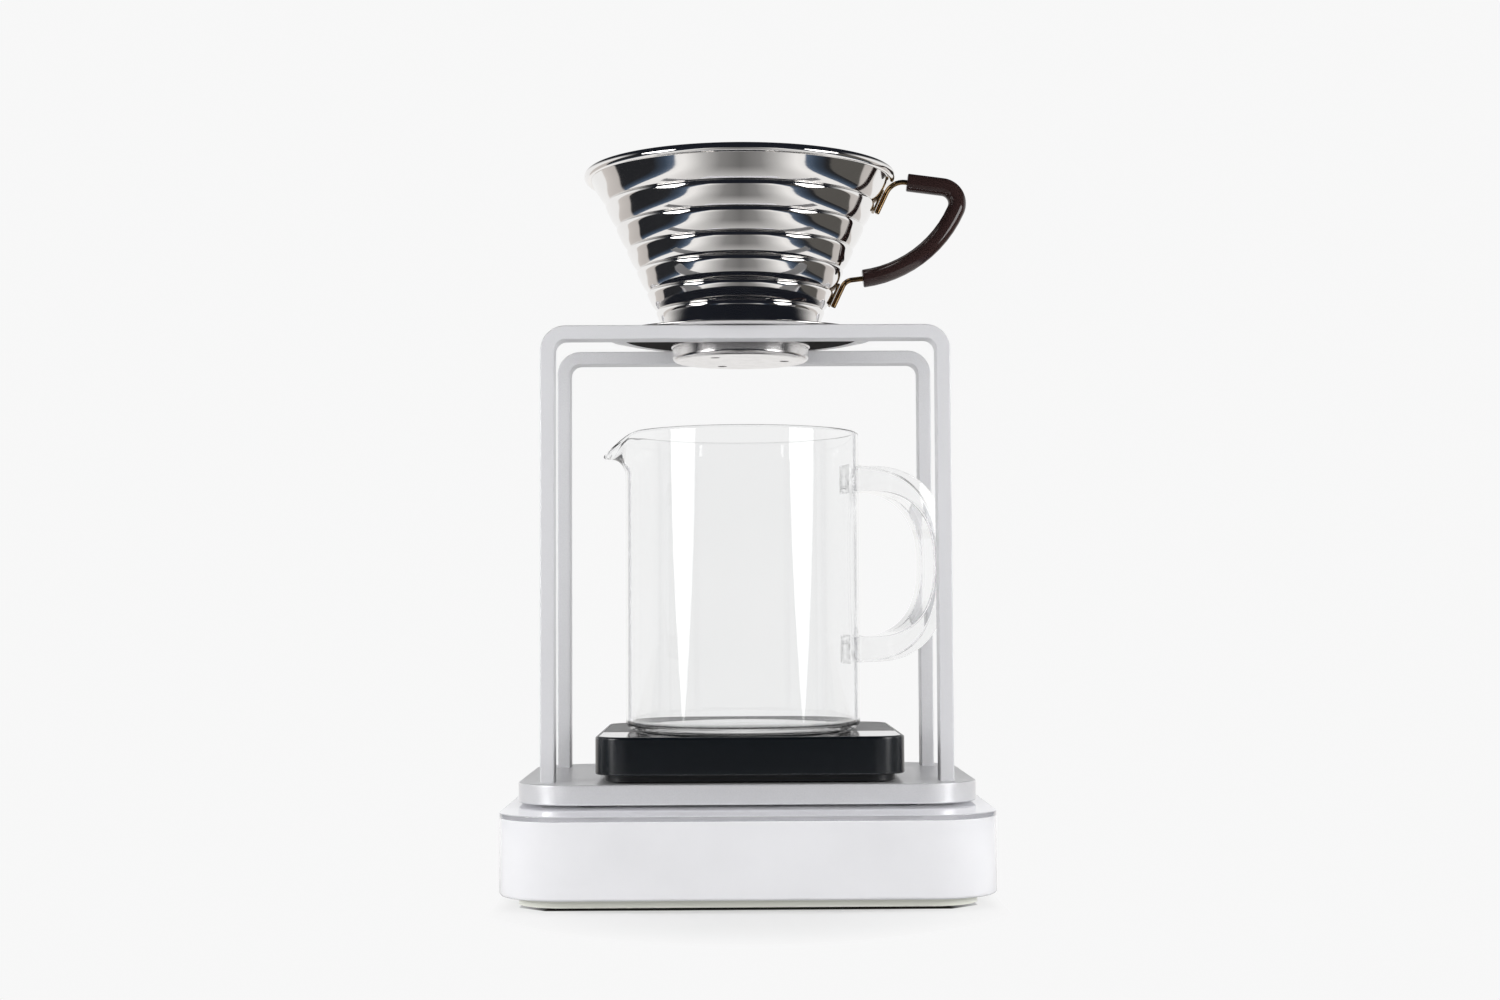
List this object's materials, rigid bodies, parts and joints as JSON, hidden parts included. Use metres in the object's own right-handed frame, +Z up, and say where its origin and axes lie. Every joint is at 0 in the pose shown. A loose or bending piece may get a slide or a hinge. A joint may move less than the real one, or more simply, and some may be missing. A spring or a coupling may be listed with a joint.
{
  "type": "pour-over dripper stand",
  "caption": "Pour-over coffee station: a plate with bar frames that carry a ribbed steel dripper over a glass jug on a black scale, all standing on a white scale.",
  "frame": {"origin": "on the table, under the middle of the white base scale", "axes": "+Z up, +X to the right and -Y to the front as the picture shows it"},
  "size_m": [0.1606, 0.1606, 0.25],
  "materials": {
    "tray_plastic": "satin",
    "rubber": "matte",
    "white_shell": "gloss",
    "clear_acrylic": "clear gloss",
    "cell_metal": "milled",
    "board": "solder mask",
    "battery_foil": "foil",
    "display_module": "gloss",
    "socket_metal": "plain",
    "screw_steel": "plain",
    "stand_aluminium": "bead-blasted satin",
    "black_tray": "satin",
    "black_shell": "black anodised satin",
    "grey_platform": "satin",
    "black_gloss": "gloss",
    "jug_glass": "clear",
    "polished_steel": "mirror polished",
    "bronze": "aged",
    "grip_brown": "glossy sleeve"
  },
  "bodies": {
    "base_scale": {"base_tray": "tray_plastic", "base_feet": "rubber", "base_shell": "white_shell", "base_top": "clear_acrylic", "base_load_cell": "cell_metal", "base_circuit_board": "board", "base_battery": "battery_foil", "base_display": "display_module", "base_charge_socket": "socket_metal", "base_screws": "screw_steel"},
    "stand": {"stand_plate": "stand_aluminium", "front_frame": "stand_aluminium", "rear_frame": "stand_aluminium", "frame_screws": "screw_steel", "stand_pads": "rubber"},
    "brew_scale": {"brew_tray": "black_tray", "brew_feet": "rubber", "brew_shell": "black_shell", "brew_platform": "grey_platform", "brew_window": "black_gloss", "brew_display": "display_module", "brew_load_cell": "cell_metal", "brew_circuit_board": "board", "brew_battery": "battery_foil", "brew_charge_socket": "socket_metal", "brew_screws": "screw_steel"},
    "jug": {"jug_body": "jug_glass", "jug_handle": "jug_glass"},
    "dripper": {"dripper_cone": "polished_steel", "dripper_flange": "polished_steel", "dripper_collar": "polished_steel", "handle_wire": "bronze", "handle_grip": "grip_brown", "upper_strap": "bronze", "lower_strap": "bronze"}
  },
  "joints": [
    {"name": "stand_lift", "type": "slide", "parent": "base_scale", "child": "stand", "axis": [0, 0, 1], "range_m": [0, 0.06]},
    {"name": "dripper_lift", "type": "slide", "parent": "stand", "child": "dripper", "axis": [0, 0, 1], "range_m": [0, 0.08]},
    {"name": "brew_scale_slide", "type": "slide", "parent": "stand", "child": "brew_scale", "axis": [0, -1, 0], "range_m": [0, 0.04]},
    {"name": "jug_slide", "type": "slide", "parent": "brew_scale", "child": "jug", "axis": [-0.26, -0.9656, 0], "range_m": [0, 0.13]}
  ]
}
